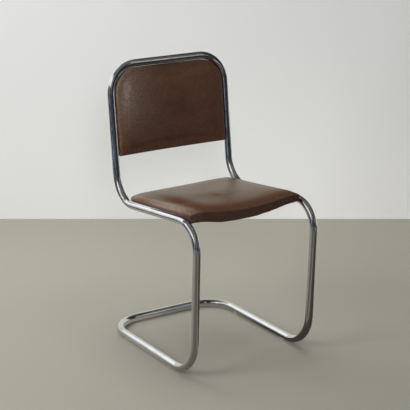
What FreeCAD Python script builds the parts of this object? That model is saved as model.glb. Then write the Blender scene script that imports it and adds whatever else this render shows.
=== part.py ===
import FreeCAD, Part
import math
import os

# Cantilever dining chair: one closed loop of bent chromed tube that carries an upholstered seat and back.
# Millimetres, +Z up, the chair faces -Y. The origin is on the floor under the middle of the chair.

# Steel tube and its two joints
tube_diameter = 22.0
tube_wall = 2.0
sleeve_length = 70.0
sleeve_wall = 2.5
sleeve_clearance = 0.1
rivet_diameter = 4.0
rivet_inset = 20.0

# Frame, measured on the tube's centre line unless it says outside
outside_width = 415.0
base_length = 476.0
leg_forward_lean = 17.0
rail_front_height = 460.0
rail_fall = 41.0
rail_depth = 424.5
upright_rise = 394.0
upright_back_lean = 47.0
base_corner_radius = 92.0
base_front_radius = 103.0
seat_front_radius = 76.0
seat_back_radius = 84.0
top_corner_radius = 85.0

# Glides under the floor runners
glide_height = 3.0
glide_length = 26.0
glide_width = 15.0
glide_inset = 20.0
glide_stem_diameter = 7.0
glide_stem_length = 9.0
glide_barb = 1.2

# What both pads share
pad_gap = 1.0
cover_thickness = 1.0
cover_turn_under = 50.0
staple_crown = 10.0
staple_wire = 0.9
staple_leg = 5.0
staple_sink = 0.3
seat_staple_pitch = 48.0
back_staple_pitch = 41.0

# Seat pad, in a frame that lies along the rails
seat_setback = 53.0
seat_length = 352.0
seat_board_thickness = 8.0
seat_board_under_rail = 2.0
seat_edge_foam = 18.0
seat_dish = 18.5
seat_top_dish = 12.0
seat_dish_knee_share = 0.65
seat_flat_side = 4.0
seat_rear_crown = 1.5
seat_rear_fall = 4.0
seat_top_dish_share = 0.7
seat_rear_corner = 40.0
seat_roll = 12.0
seat_front_roll = 8.0
cloth_thickness = 0.6
cloth_overlap = 12.0

# Back pad, in a frame that lies along the uprights
back_height = 252.0
back_board_thickness = 7.0
back_board_rear = 1.0
back_edge_foam = 7.0
back_hollow = 10.0
back_crown = 7.0
back_roll = 6.0
back_end_roll = 5.0
rear_panel_thickness = 3.0
rear_panel_inset = 5.0

# Lugs welded to the tube, with their screws
lug_thickness = 4.0
lug_width = 32.0
lug_corner = 6.0
lug_reach = 33.0
lug_screw_inset = 18.5
seat_lug_clearance = 0.5
seat_front_lug_past_bend = 20.0
seat_rear_lug_before_bend = 5.0
back_top_lug_before_bend = 3.0
back_lug_from_bottom = 35.0
screw_diameter = 5.0
screw_clearance = 0.5
screw_head_diameter = 9.5
screw_head_height = 3.2
screw_drive = 3.0
screw_drive_depth = 1.8
washer_diameter = 12.0
washer_thickness = 1.0
tee_barrel_diameter = 6.6
tee_flange_diameter = 16.0
tee_flange_thickness = 1.2

# Worked out from the sizes above
tube_radius = tube_diameter / 2
tube_bore = tube_diameter - 2 * tube_wall
side_x = outside_width / 2 - tube_radius
floor_tube_z = glide_height + tube_radius
pad_half_width = side_x - tube_radius - pad_gap
seat_dish_half_width = pad_half_width - seat_flat_side
seat_board_bottom = -seat_board_under_rail
seat_board_top = seat_board_bottom + seat_board_thickness
seat_under_face = seat_board_bottom - cover_thickness
seat_top = seat_board_top + seat_edge_foam + cover_thickness
cloth_inset = cover_turn_under - cloth_overlap
back_curve_radius = (pad_half_width ** 2 + back_hollow ** 2) / (2 * back_hollow)
back_corner_radius = top_corner_radius - tube_radius - pad_gap
back_board_front = back_board_rear - back_board_thickness
back_front = back_board_front - back_edge_foam - cover_thickness
back_wrap_face = back_board_rear + cover_thickness
panel_face = back_wrap_face + rear_panel_thickness
back_rear_face = panel_face + cover_thickness
screw_x = side_x - tube_radius - lug_screw_inset

# Only the modelling needs these: how far cutting shapes reach past the pads, and the least bow of an arc
cut_spare = 20.0
least_bow = 0.5
edge_tolerance = 0.01
seat_cut_bottom = seat_under_face - seat_dish - cut_spare
seat_cut_top = seat_top + seat_dish + seat_rear_crown + cut_spare
back_cut_front = back_front - back_crown - cut_spare
back_cut_rear = back_rear_face + back_hollow + cut_spare
diagonal_share = 1 - math.sqrt(0.5)
X_AXIS = FreeCAD.Vector(1, 0, 0)
Y_AXIS = FreeCAD.Vector(0, 1, 0)
Z_AXIS = FreeCAD.Vector(0, 0, 1)


def vec(x, y, z):
    return FreeCAD.Vector(x, y, z)


def mirrored(point):
    return vec(-point.x, point.y, point.z)


def bend(before, corner, after, radius):
    """First point, middle point, last point and centre of the arc that rounds a corner."""
    to_before = (before - corner).normalize()
    to_after = (after - corner).normalize()
    half_angle = to_before.getAngle(to_after) / 2
    reach = radius / math.tan(half_angle)
    bisector = (to_before + to_after).normalize()
    centre = corner + bisector * (radius / math.sin(half_angle))
    return corner + to_before * reach, centre - bisector * radius, corner + to_after * reach, centre


# Corner points of the side view, first with the front foot at y 0, then moved so that the chair is centred
rail_back_height = rail_front_height - rail_fall
foot = vec(0, 0, floor_tube_z)
rail_front = vec(0, -leg_forward_lean, rail_front_height)
rail_back = rail_front + vec(0, rail_depth, -rail_fall)
front_bend_centre = bend(foot, rail_front, rail_back, seat_front_radius)[3]
front_reach = front_bend_centre.y - seat_front_radius - tube_radius
rear_reach = base_length + tube_radius
centring = vec(0, -(front_reach + rear_reach) / 2, 0)
foot = foot + centring
heel = foot + vec(0, base_length, 0)
rail_front = rail_front + centring
rail_back = rail_back + centring
upright_top = rail_back + vec(0, upright_back_lean, upright_rise)
rail_angle = math.degrees(math.atan2(rail_fall, rail_depth))
upright_angle = math.degrees(math.atan2(upright_back_lean, upright_rise))

# Ends of the straight runs that carry the lugs, from the seat's front edge and the back's bottom edge
front_bend_end = bend(foot, rail_front, rail_back, seat_front_radius)[2]
rear_bend_start = bend(rail_front, rail_back, upright_top, seat_back_radius)[0]
rail_run_start = (front_bend_end - rail_front).Length - seat_setback
rail_run_end = (rear_bend_start - rail_front).Length - seat_setback
upright_run_end = back_height - back_corner_radius


def bent_wire(points, radii):
    """Straight runs joined by tangent arcs."""
    edges = []
    start = points[0]
    for index, radius in enumerate(radii, 1):
        first, middle, last, centre = bend(points[index - 1], points[index], points[index + 1], radius)
        edges.append(Part.makeLine(start, first))
        edges.append(Part.Arc(first, middle, last).toShape())
        start = last
    edges.append(Part.makeLine(start, points[-1]))
    return Part.Wire(edges)


def half_loop(side, diameter):
    """Round rod along one half of the loop, from the middle of the rear floor bar to the middle on top."""
    shift = vec(side * side_x, 0, 0)
    outer_corners = [corner + shift for corner in (heel, foot, rail_front, rail_back, upright_top)]
    corners = [heel] + outer_corners + [upright_top]
    radii = [base_corner_radius, base_front_radius, seat_front_radius, seat_back_radius, top_corner_radius]
    circle = Part.Wire(Part.makeCircle(diameter / 2, heel, X_AXIS))
    return bent_wire(corners, radii).makePipeShell([circle], True, False)


def rivets_at(centre, direction):
    """Two rivets, one each side of a butt joint, flush with the tube."""
    tube_start = centre - X_AXIS * (sleeve_length / 2)
    outer = Part.makeCylinder(tube_radius, sleeve_length, tube_start, X_AXIS)
    depth = tube_wall + sleeve_clearance + sleeve_wall
    pins = []
    for side in (-1, 1):
        start = centre + vec(side * rivet_inset, 0, 0) + direction * (tube_radius - depth)
        pin = Part.makeCylinder(rivet_diameter / 2, depth + tube_radius, start, direction)
        pins.append(pin.common(outer))
    return Part.makeCompound(pins)


def joint_sleeve(centre, rivets):
    outer_radius = tube_bore / 2 - sleeve_clearance
    start = centre - X_AXIS * (sleeve_length / 2)
    sleeve = Part.makeCylinder(outer_radius, sleeve_length, start, X_AXIS)
    bore = Part.makeCylinder(outer_radius - sleeve_wall, sleeve_length, start, X_AXIS)
    return sleeve.cut(bore).cut(rivets)


def glide(side, y):
    """Plastic glide with a saddle top that follows the tube and a barbed stem that snaps into it."""
    centre = vec(side * side_x, y, 0)
    end_radius = glide_width / 2
    straight = glide_length / 2 - end_radius
    body = Part.makeBox(glide_width, 2 * straight, floor_tube_z, centre - vec(end_radius, straight, 0))
    for end in (-1, 1):
        body = body.fuse(Part.makeCylinder(end_radius, floor_tube_z, centre + vec(0, end * straight, 0)))
    body = body.removeSplitter()
    tube_start = centre + vec(0, -glide_length / 2, floor_tube_z)
    body = body.cut(Part.makeCylinder(tube_radius, glide_length, tube_start, Y_AXIS))
    stem_base = glide_height / 2
    stem_height = glide_stem_length - stem_base
    stem = Part.makeCylinder(glide_stem_diameter / 2, stem_height, centre + vec(0, 0, stem_base))
    barb_base = glide_height + tube_wall + glide_barb
    barb = Part.makeCone(
        glide_stem_diameter / 2 + glide_barb / 2,
        glide_stem_diameter / 2 - glide_barb,
        glide_stem_length - barb_base,
        centre + vec(0, 0, barb_base),
    )
    return body.fuse([stem, barb]).removeSplitter()


def stem_hole(side, y):
    return Part.makeCylinder(glide_stem_diameter / 2, floor_tube_z, vec(side * side_x, y, 0))


# Seat frame: x across, y along the rails to the rear, z square to them, zero at the pad's front edge
def in_seat_frame(shape):
    shape = shape.copy()
    shape.rotate(vec(0, 0, 0), X_AXIS, -rail_angle)
    along = (rail_back - rail_front).normalize()
    shape.translate(rail_front + along * seat_setback)
    return shape


# Back frame: x across, y square to the uprights to the rear, z along them, zero at the pad's bottom edge
def in_back_frame(shape):
    shape = shape.copy()
    shape.rotate(vec(0, 0, 0), X_AXIS, -upright_angle)
    down = (rail_back - upright_top).normalize()
    shape.translate(upright_top + down * (tube_radius + pad_gap + back_height))
    return shape


def dish_arcs(dish, half_width):
    """Turn at the knee of a dished line, and the radii of the arcs outside and inside the knee."""
    if abs(dish) < least_bow:
        dish = math.copysign(least_bow, dish)
    turn = 2 * math.atan(dish / half_width)
    both = half_width / math.sin(turn)
    return turn, both * (1 - seat_dish_knee_share), both * seat_dish_knee_share


def dish_height(x):
    """Height and slope angle of the board's dished middle line, below its flat sides."""
    turn, outer_radius, inner_radius = dish_arcs(seat_dish, seat_dish_half_width)
    x_abs = abs(x)
    if x_abs >= seat_dish_half_width:
        return 0.0, 0.0
    if x_abs >= seat_dish_half_width * seat_dish_knee_share:
        sine = (seat_dish_half_width - x_abs) / outer_radius
        height = outer_radius * math.cos(math.asin(sine)) - outer_radius
    else:
        sine = x_abs / inner_radius
        height = inner_radius - seat_dish - inner_radius * math.cos(math.asin(sine))
    return height, math.copysign(math.degrees(math.asin(sine)), x)


def dished_slab(low, high, margin):
    """Sheet between two offsets of the dished line, as long as the seat with a margin at both ends."""
    turn, outer_radius, inner_radius = dish_arcs(seat_dish, seat_dish_half_width)
    reach = pad_half_width + margin

    def line(offset):
        """Flat, arc, arc, arc, flat: five edges from left to right."""
        side = outer_radius + offset
        edge = vec(seat_dish_half_width, 0, offset)
        side_mid = vec(edge.x - side * math.sin(turn / 2), 0, side * math.cos(turn / 2) - outer_radius)
        knee = vec(edge.x - side * math.sin(turn), 0, side * math.cos(turn) - outer_radius)
        bottom = vec(0, 0, offset - seat_dish)
        end = vec(reach, 0, offset)
        return [
            Part.makeLine(mirrored(end), mirrored(edge)),
            Part.Arc(mirrored(edge), mirrored(side_mid), mirrored(knee)).toShape(),
            Part.Arc(mirrored(knee), bottom, knee).toShape(),
            Part.Arc(knee, side_mid, edge).toShape(),
            Part.makeLine(edge, end),
        ]

    right_wall = Part.makeLine(vec(reach, 0, low), vec(reach, 0, high))
    left_wall = Part.makeLine(vec(-reach, 0, high), vec(-reach, 0, low))
    face = Part.Face(Part.Wire(line(low) + [right_wall] + line(high)[::-1] + [left_wall]))
    face.translate(vec(0, -margin, 0))
    return face.extrude(vec(0, seat_length + 2 * margin, 0))


def corner_draw(distance_from_end, radius):
    """How far a quarter round of this radius has drawn in, at a distance from its end."""
    if distance_from_end >= radius:
        return 0.0
    return radius - math.sqrt(radius ** 2 - (radius - distance_from_end) ** 2)


def seat_section(y, half_width, top, dish, roll):
    """Closed section of the seat pad across its width: plain below, rolled edges, dished or crowned top."""
    shoulder = half_width - roll
    flat = min(seat_dish_half_width, shoulder - roll / 2)
    lean = roll * diagonal_share
    turn, outer_radius, inner_radius = dish_arcs(dish, flat)
    side_drop = outer_radius * (1 - math.cos(turn / 2))
    corner = vec(half_width, y, seat_cut_bottom)
    wall_top = vec(half_width, y, top - roll)
    roll_mid = vec(half_width - lean, y, top - lean)
    roll_top = vec(shoulder, y, top)
    edge = vec(flat, y, top)
    side_mid = vec(flat - outer_radius * math.sin(turn / 2), y, top - side_drop)
    knee = vec(flat * seat_dish_knee_share, y, top - dish * (1 - seat_dish_knee_share))
    bottom = vec(0, y, top - dish)
    return Part.Wire([
        Part.makeLine(mirrored(corner), corner),
        Part.makeLine(corner, wall_top),
        Part.Arc(wall_top, roll_mid, roll_top).toShape(),
        Part.makeLine(roll_top, edge),
        Part.Arc(edge, side_mid, knee).toShape(),
        Part.Arc(knee, bottom, mirrored(knee)).toShape(),
        Part.Arc(mirrored(knee), mirrored(side_mid), mirrored(edge)).toShape(),
        Part.makeLine(mirrored(edge), mirrored(roll_top)),
        Part.Arc(mirrored(roll_top), mirrored(roll_mid), mirrored(wall_top)).toShape(),
        Part.makeLine(mirrored(wall_top), mirrored(corner)),
    ])


def seat_dish_at(y):
    """Dish of the pad's top, less than the board's: full in front, turning into a slight crown behind."""
    share = min(max(y / (seat_length * seat_top_dish_share), 0.0), 1.0)
    return -seat_rear_crown + (seat_top_dish + seat_rear_crown) * (1 + math.cos(math.pi * share)) / 2


def seat_body(inset):
    """Whole seat pad, drawn in on all outer faces by an inset, with a plain lower end that is cut later."""
    roll = seat_roll - inset
    front_roll = seat_front_roll - inset
    corner = seat_rear_corner - inset
    length = seat_length - 2 * inset
    top = seat_top - inset
    stations = [front_roll * share for share in (0, 0.3, 1, 2.5, 5)]
    stations += [length * share for share in (0.2, 0.32, 0.44, 0.56, 0.74)]
    stations += [length - corner * share for share in (1, 0.7, 0.45)]
    stations += [length - roll * share for share in (1, 0.6, 0.25, 0)]
    sections = []
    for y in stations:
        draw = corner_draw(length - y, corner)
        drop = corner_draw(length - y, roll) + corner_draw(y, front_roll)
        fall = seat_rear_fall * y / length
        half_width = pad_half_width - inset - draw
        dish = seat_dish_at(y + inset)
        sections.append(seat_section(y + inset, half_width, top - drop - fall, dish, roll))
    return Part.makeLoft(sections, True, False)


def back_arc(offset, x):
    """Y of the curved back sheet at an offset behind its middle surface."""
    radius = back_curve_radius
    return back_hollow - radius + math.sqrt((radius + offset) ** 2 - x ** 2)


def curved_sheet(front, rear, margin):
    """Upright sheet between two offsets of the curved back."""
    reach = pad_half_width + margin

    def line(offset):
        end = vec(reach, back_arc(offset, reach), 0)
        return Part.Arc(mirrored(end), vec(0, back_arc(offset, 0), 0), end).toShape()

    front_end = vec(reach, back_arc(front, reach), 0)
    rear_end = vec(reach, back_arc(rear, reach), 0)
    right_wall = Part.makeLine(front_end, rear_end)
    left_wall = Part.makeLine(mirrored(rear_end), mirrored(front_end))
    face = Part.Face(Part.Wire([line(front), right_wall, line(rear), left_wall]))
    face.translate(vec(0, 0, -margin))
    return face.extrude(vec(0, 0, back_height + 2 * margin))


def back_section(z, half_width, front, middle, roll):
    """Closed section of the back pad at one height: plain behind, rolled side edges, bowed front."""
    lean = roll * diagonal_share
    corner = vec(half_width, back_cut_rear, z)
    wall_front = vec(half_width, front + roll, z)
    roll_mid = vec(half_width - lean, front + lean, z)
    roll_front = vec(half_width - roll, front, z)
    return Part.Wire([
        Part.makeLine(mirrored(corner), corner),
        Part.makeLine(corner, wall_front),
        Part.Arc(wall_front, roll_mid, roll_front).toShape(),
        Part.Arc(roll_front, vec(0, middle, z), mirrored(roll_front)).toShape(),
        Part.Arc(mirrored(roll_front), mirrored(roll_mid), mirrored(wall_front)).toShape(),
        Part.makeLine(mirrored(wall_front), mirrored(corner)),
    ])


def back_body(inset):
    """Whole back pad, drawn in on all outer faces by an inset, with a plain rear end that is cut later."""
    roll = back_roll - inset
    end_roll = back_end_roll - inset
    corner = back_corner_radius - inset
    length = back_height - 2 * inset
    stations = [end_roll * share for share in (0, 0.3, 1, 2, 4)]
    stations += [length * share for share in (0.2, 0.35, 0.55)]
    stations += [length - corner * share for share in (1, 0.75, 0.5, 0.3, 0.15)]
    stations += [length - end_roll * share for share in (1, 0.3, 0)]
    sections = []
    for z in stations:
        half_width = pad_half_width - inset - corner_draw(length - z, corner)
        draw = corner_draw(length - z, end_roll) + corner_draw(z, end_roll)
        crown = back_crown * math.sin(math.pi * z / length)
        front = back_arc(back_front + inset, half_width) + draw
        middle = back_arc(back_front + inset, 0) - crown + draw
        if abs(middle - front) < least_bow:
            middle = front + least_bow
        sections.append(back_section(z + inset, half_width, front, middle, roll))
    return Part.makeLoft(sections, True, False)


def outline_prism(inset, length, corner, point, depth):
    """Prism over a pad's outline, square at one end and with rounded corners at the other."""
    half_width = pad_half_width - inset
    start = inset
    end = length - inset
    radius = max(corner - inset, cover_thickness)
    diagonal = radius * diagonal_share

    def corner_arc(side):
        return Part.Arc(
            point(side * half_width, end - radius),
            point(side * (half_width - diagonal), end - diagonal),
            point(side * (half_width - radius), end),
        ).toShape()

    edges = [
        Part.makeLine(point(-half_width, start), point(half_width, start)),
        Part.makeLine(point(half_width, start), point(half_width, end - radius)),
        corner_arc(1),
        Part.makeLine(point(half_width - radius, end), point(radius - half_width, end)),
        corner_arc(-1),
        Part.makeLine(point(-half_width, end - radius), point(-half_width, start)),
    ]
    return Part.Face(Part.Wire(edges)).extrude(depth)


def seat_prism(inset):
    """Prism over the seat's outline, through the whole pad."""

    def point(x, y):
        return vec(x, y, seat_cut_bottom)

    depth = vec(0, 0, seat_cut_top - seat_cut_bottom)
    return outline_prism(inset, seat_length, seat_rear_corner, point, depth)


def back_prism(inset):
    """Prism over the back's outline, through the whole pad."""

    def point(x, z):
        return vec(x, back_cut_front, z)

    depth = vec(0, back_cut_rear - back_cut_front, 0)
    return outline_prism(inset, back_height, back_corner_radius, point, depth)


def placed(shape, position, x_direction, z_direction):
    """Copy of a shape whose own x and z axes turn to two given directions."""
    y_direction = z_direction.cross(x_direction)
    matrix = FreeCAD.Matrix(
        x_direction.x, y_direction.x, z_direction.x, position.x,
        x_direction.y, y_direction.y, z_direction.y, position.y,
        x_direction.z, y_direction.z, z_direction.z, position.z,
        0, 0, 0, 1,
    )
    copy = shape.copy()
    copy.Placement = FreeCAD.Placement(matrix)
    return copy


def staple():
    """Wire staple seen from its crown, legs up."""
    crown = Part.makeBox(staple_crown, staple_wire, staple_wire, vec(-staple_crown / 2, -staple_wire / 2, 0))
    legs = []
    for x in (-staple_crown / 2, staple_crown / 2 - staple_wire):
        legs.append(Part.makeBox(staple_wire, staple_wire, staple_leg, vec(x, -staple_wire / 2, 0)))
    return crown.fuse(legs).removeSplitter()


def spaced(start, end, pitch):
    """Even positions between two ends, at about a given pitch."""
    count = max(2, round((end - start) / pitch) + 1)
    return [start + (end - start) * index / (count - 1) for index in range(count)]


def lug():
    """Steel lug with its contact face at z 0: the free end inward at -x, the tube end outward at +x."""
    inner = lug_reach - lug_screw_inset
    outer = lug_screw_inset + tube_radius
    half = lug_width / 2
    plate = Part.makeBox(inner + outer, lug_width, lug_thickness, vec(-inner, -half, -lug_thickness))
    free_edges = []
    for edge in plate.Edges:
        start, end = [vertex.Point for vertex in edge.Vertexes]
        at_free_end = abs(start.x + inner) < edge_tolerance and abs(end.x + inner) < edge_tolerance
        if at_free_end and abs(start.y - end.y) < edge_tolerance:
            free_edges.append(edge)
    return plate.makeFillet(lug_corner, free_edges)


def fixing(below_board, board_thickness):
    """Lug, screw, washer, tee nut and clearance hole of one fixing. Z 0 is the lug's face against the pad."""
    screw_radius = screw_diameter / 2
    board_top = below_board + board_thickness
    seat_z = -lug_thickness - washer_thickness
    head_z = seat_z - screw_head_height
    shank = Part.makeCylinder(screw_radius, board_top + tee_flange_thickness - seat_z, vec(0, 0, seat_z))
    head = Part.makeCylinder(screw_head_diameter / 2, screw_head_height, vec(0, 0, head_z))
    rim = [edge for edge in head.Edges if abs(edge.CenterOfMass.z - head_z) < edge_tolerance]
    head = head.makeFillet(screw_head_height / 2, rim)
    drive_start = vec(-screw_drive / 2, -screw_drive / 2, head_z)
    drive = Part.makeBox(screw_drive, screw_drive, screw_drive_depth, drive_start)
    screw = head.fuse(shank).removeSplitter().cut(drive)
    washer = Part.makeCylinder(washer_diameter / 2, washer_thickness, vec(0, 0, seat_z))
    hole = Part.makeCylinder(screw_radius + screw_clearance / 2, board_top - seat_z, vec(0, 0, seat_z))
    barrel = Part.makeCylinder(tee_barrel_diameter / 2, board_thickness, vec(0, 0, below_board))
    flange = Part.makeCylinder(tee_flange_diameter / 2, tee_flange_thickness, vec(0, 0, board_top))
    tee_solid = barrel.fuse(flange).removeSplitter()
    return {
        "lug": lug(),
        "screw": screw,
        "washer": washer.cut(hole),
        "tee_nut": tee_solid.cut(shank),
        "tee_solid": tee_solid,
        "hole": hole,
    }


def fitted(pad, parts, spots, tube_rods):
    """Lugs and fixings at their spots, then the holes and the tee nut bodies that are cut from the pad."""
    nodes = {}
    rows = {"screw": [], "washer": [], "tee_nut": [], "hole": [], "tee_solid": []}
    for label, position, outward, normal in spots:
        moved = {name: placed(shape, position, outward, normal) for name, shape in parts.items()}
        nodes[f"{pad}_lug_{label}"] = moved["lug"].cut(tube_rods).cut(moved["hole"])
        for name, row in rows.items():
            row.append(moved[name])
    for name in ("screw", "washer", "tee_nut"):
        nodes[f"{pad}_{name}s"] = Part.makeCompound(rows[name])
    return nodes, rows["hole"], rows["tee_solid"]


def tube_halves():
    """The loop's two halves, with their rivet and glide holes, and what sits inside them."""
    top_rivets = rivets_at(upright_top, Y_AXIS)
    base_rivets = rivets_at(heel, -Z_AXIS)
    nodes = {
        "top_joint_sleeve": joint_sleeve(upright_top, top_rivets),
        "base_joint_sleeve": joint_sleeve(heel, base_rivets),
        "sleeve_rivets": Part.makeCompound(top_rivets.Solids + base_rivets.Solids),
    }
    runner_start = bend(heel, foot, rail_front, base_front_radius)[0].y
    runner_end = heel.y - base_corner_radius
    glide_rows = {"front": runner_start + glide_inset, "rear": runner_end - glide_inset}
    for side, name in ((-1, "left"), (1, "right")):
        tube = half_loop(side, tube_diameter).cut(half_loop(side, tube_bore))
        tube = tube.cut(nodes["sleeve_rivets"])
        for row, y in glide_rows.items():
            tube = tube.cut(stem_hole(side, y))
            nodes[f"glide_{row}_{name}"] = glide(side, y)
        nodes[f"frame_tube_{name}"] = tube
    return nodes


def under_board(x, y, offset):
    """Place at an offset from the dished line, the direction across the seat and the one into the pad."""
    height, slope = dish_height(x)
    angle = math.radians(slope)
    normal = vec(-math.sin(angle), 0, math.cos(angle))
    across = vec(math.cos(angle), 0, math.sin(angle))
    return vec(x, y, height) + normal * offset, across, normal


def seat_staple_row():
    """Staples that hold the turned-under cover and the dust cloth to the board, pressed into the cloth."""
    face = seat_under_face - cloth_thickness - staple_wire + staple_sink
    inset = cloth_inset + staple_crown / 2
    side = pad_half_width - inset
    front = inset
    rear = seat_length - inset
    radius = max(seat_rear_corner - inset, 0) + staple_crown
    pieces = []
    for y in spaced(front + radius, rear - radius, seat_staple_pitch):
        for x in (-side, side):
            pieces.append((x, y, True))
    for x in spaced(-side + radius, side - radius, seat_staple_pitch):
        for y in (front, rear):
            pieces.append((x, y, False))
    solids = []
    for x, y, along in pieces:
        position, across, normal = under_board(x, y, face)
        solids.append(placed(staple(), position, Y_AXIS if along else across, normal))
    return Part.makeCompound(solids)


def seat_nodes():
    """Board, foam, cover, dust cloth, staples, lugs and fixings of the seat."""
    inner = seat_body(cover_thickness)
    outer = seat_body(0)
    board = inner.common(dished_slab(seat_board_bottom, seat_board_top, cut_spare))
    foam = inner.common(dished_slab(seat_board_top, seat_cut_top, cut_spare))
    core = inner.common(dished_slab(seat_board_bottom, seat_cut_top, cut_spare))
    shell = outer.common(dished_slab(seat_under_face, seat_cut_top, cut_spare))
    opening = dished_slab(seat_cut_bottom, seat_board_bottom, cut_spare).common(seat_prism(cover_turn_under))
    cover = shell.cut(core).cut(opening)
    cloth = dished_slab(seat_under_face - cloth_thickness, seat_under_face, 0).common(seat_prism(cloth_inset))
    staples = seat_staple_row()
    rods = []
    for side in (-1, 1):
        start = vec(side * side_x, -seat_length / 2, 0)
        rods.append(Part.makeCylinder(tube_radius, 2 * seat_length, start, Y_AXIS))
    rows = {
        "front": rail_run_start + lug_width / 2 + seat_front_lug_past_bend,
        "rear": rail_run_end - lug_width / 2 - seat_rear_lug_before_bend,
    }
    spots = []
    for row, y in rows.items():
        for side, name in ((-1, "left"), (1, "right")):
            position, across, normal = under_board(side * screw_x, y, seat_under_face - seat_lug_clearance)
            spots.append((f"{row}_{name}", position, across * side, normal))
    parts = fixing(cover_thickness + seat_lug_clearance, seat_board_thickness)
    nodes, holes, tee_solids = fitted("seat", parts, spots, rods)
    nodes["seat_board"] = board.cut(holes + tee_solids).cut(staples)
    nodes["seat_foam"] = foam.cut(tee_solids)
    nodes["seat_cover"] = cover.cut(holes).cut(staples)
    nodes["seat_dust_cloth"] = cloth.cut(staples)
    nodes["seat_staples"] = staples
    return {name: in_seat_frame(shape) for name, shape in nodes.items()}


def back_normal(x, offset):
    """Direction into the pad, square to the curved sheet at an offset, at a distance from its middle."""
    sine = x / (back_curve_radius + offset)
    return vec(-sine, -math.sqrt(1 - sine ** 2), 0)


def back_staple_row():
    """Staples through the cover's turned-in edge into the back board, pressed flush under the rear panel."""
    inset = cover_turn_under / 2
    side = pad_half_width - inset
    top = back_height - inset
    radius = back_corner_radius - inset
    pieces = []
    for z in spaced(inset + staple_crown, top - radius, back_staple_pitch):
        for x in (-side, side):
            pieces.append((x, z, True))
    for x in spaced(-side + staple_crown, side - staple_crown, back_staple_pitch):
        pieces.append((x, inset, False))
    for x in spaced(-side + radius, side - radius, back_staple_pitch):
        pieces.append((x, top, False))
    solids = []
    for x, z, along in pieces:
        normal = back_normal(x, back_wrap_face)
        across = Z_AXIS.cross(normal)
        position = vec(x, back_arc(back_wrap_face, x), z) + normal * staple_sink
        solids.append(placed(staple(), position, Z_AXIS if along else across, normal))
    return Part.makeCompound(solids)


def back_nodes():
    """Board, foam, cover, rear panel and its cover, staples, lugs and fixings of the back."""
    inner = back_body(cover_thickness)
    outer = back_body(0)
    board = inner.common(curved_sheet(back_board_front, back_board_rear, cut_spare))
    foam = inner.common(curved_sheet(back_cut_front, back_board_front, cut_spare))
    core = inner.common(curved_sheet(back_cut_front, back_board_rear, cut_spare))
    shell = outer.common(curved_sheet(back_cut_front, back_wrap_face, cut_spare))
    opening = curved_sheet(back_board_rear, back_cut_rear, cut_spare).common(back_prism(cover_turn_under))
    cover = shell.cut(core).cut(opening)
    panel = back_prism(rear_panel_inset).common(curved_sheet(back_wrap_face, panel_face, 0))
    skin = back_prism(rear_panel_inset - cover_thickness)
    skin = skin.common(curved_sheet(back_wrap_face, back_rear_face, 0)).cut(panel)
    staples = back_staple_row()
    rods = []
    for side in (-1, 1):
        rods.append(Part.makeCylinder(tube_radius, 2 * back_height, vec(side * side_x, 0, -back_height / 2)))
    rows = {
        "bottom": back_lug_from_bottom,
        "top": upright_run_end - lug_width / 2 - back_top_lug_before_bend,
    }
    spots = []
    for row, z in rows.items():
        for side, name in ((-1, "left"), (1, "right")):
            normal = back_normal(side * screw_x, back_rear_face)
            outward = vec(side * -normal.y, side * normal.x, 0)
            position = vec(side * screw_x, back_arc(back_rear_face, screw_x), z)
            spots.append((f"{row}_{name}", position, outward, normal))
    parts = fixing(back_rear_face - back_board_rear, back_board_thickness)
    nodes, holes, tee_solids = fitted("back", parts, spots, rods)
    nodes["back_board"] = board.cut(holes + tee_solids).cut(staples)
    nodes["back_foam"] = foam.cut(tee_solids)
    nodes["back_cover"] = cover.cut(holes).cut(staples)
    nodes["back_rear_panel"] = panel.cut(holes)
    nodes["back_rear_cover"] = skin.cut(holes)
    nodes["back_staples"] = staples
    return {name: in_back_frame(shape) for name, shape in nodes.items()}


os.makedirs("parts", exist_ok=True)
for group in (tube_halves(), seat_nodes(), back_nodes()):
    for name, shape in group.items():
        shape.exportStep(f"parts/{name}.step")
        box = shape.BoundBox
        print(
            f"{name:24s} solids {len(shape.Solids):2d}  valid {shape.isValid()}"
            f"  volume {shape.Volume / 1000:9.2f} cm3  x {box.XMin:7.1f} {box.XMax:7.1f}"
            f"  y {box.YMin:7.1f} {box.YMax:7.1f}  z {box.ZMin:7.1f} {box.ZMax:7.1f}"
        )
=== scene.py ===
# %% [markdown]
# # A cantilever chair, dressed for its close-up
# One loop of bent, chromed steel tube carries a seat and a back in dark brown leatherette. The CAD model
# gives every size and every place. This file gives the chair its looks: bright tube, taut covers with grain
# and wear, and the small hardware underneath. Each step is a cell, and most cells print what they made.

# %% Load the imported model as a fixed frame
import math

import bmesh
import bpy
import numpy as np
from mathutils import Matrix, Vector


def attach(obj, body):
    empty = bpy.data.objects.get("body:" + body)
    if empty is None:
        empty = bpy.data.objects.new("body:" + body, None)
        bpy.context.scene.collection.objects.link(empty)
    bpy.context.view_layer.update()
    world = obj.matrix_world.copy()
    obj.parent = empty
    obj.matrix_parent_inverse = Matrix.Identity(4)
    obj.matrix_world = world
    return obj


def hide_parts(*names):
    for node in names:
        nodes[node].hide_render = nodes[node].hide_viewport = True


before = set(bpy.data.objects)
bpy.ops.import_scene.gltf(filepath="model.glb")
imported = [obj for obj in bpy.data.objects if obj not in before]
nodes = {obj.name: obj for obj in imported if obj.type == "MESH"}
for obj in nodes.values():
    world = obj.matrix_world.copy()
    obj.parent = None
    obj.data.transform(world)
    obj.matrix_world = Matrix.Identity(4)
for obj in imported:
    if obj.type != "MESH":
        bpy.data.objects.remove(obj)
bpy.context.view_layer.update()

# %% [markdown]
# ## The camera
# The photograph was taken from the front left, at eye height and looking down a little, with a long lens,
# which keeps the tube's runs almost parallel. The view is off centre, so the lens is shifted rather than
# turned, because turning it would change the angle at which every tube runs.

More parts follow.
